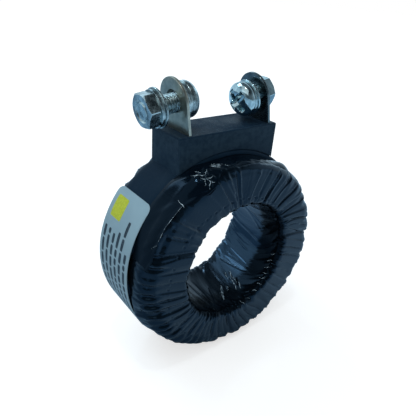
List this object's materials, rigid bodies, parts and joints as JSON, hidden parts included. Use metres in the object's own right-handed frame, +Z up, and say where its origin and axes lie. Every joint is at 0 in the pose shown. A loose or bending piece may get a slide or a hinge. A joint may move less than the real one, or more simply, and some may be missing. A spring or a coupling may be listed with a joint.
{
  "type": "window-type current transformer",
  "caption": "Tape-wrapped ring current transformer with an open window for a conductor and a terminal block on its rim that carries two upright bolt terminals.",
  "frame": {"origin": "centre of the window, half way through the ring", "axes": "+Y along the window's axis, +Z up through the terminal block, +X along the block from the left terminal to the right one"},
  "size_m": [0.0668, 0.026, 0.0841],
  "materials": {
    "tape": "satin black insulating tape",
    "band": "matte",
    "label": "satin sticker, blank",
    "block": "matte moulded",
    "tab": "satin nickel plate",
    "zinc": "bright zinc plate",
    "film": "clear amber polyester film",
    "copper": "enamelled copper wire",
    "board": "pressboard",
    "core": "wound silicon steel strip"
  },
  "bodies": {
    "root": {"outer_tape_wrap": "tape", "rim_band": "band", "blank_label": "label", "terminal_block": "block", "left_tab": "tab", "right_tab": "tab", "left_lead": "copper", "right_lead": "copper", "left_screw": "zinc", "left_nut": "zinc", "left_nut_flat_washer": "zinc", "left_nut_spring_washer": "zinc", "left_head_flat_washer": "zinc", "left_head_spring_washer": "zinc", "right_screw": "zinc", "right_nut": "zinc", "right_head_flat_washer": "zinc", "right_head_spring_washer": "zinc", "film_wrap": "film", "secondary_winding": "copper", "core_outer_sleeve": "board", "core_inner_sleeve": "board", "core_front_ring": "board", "core_back_ring": "board", "wound_core": "core"}
  },
  "joints": []
}
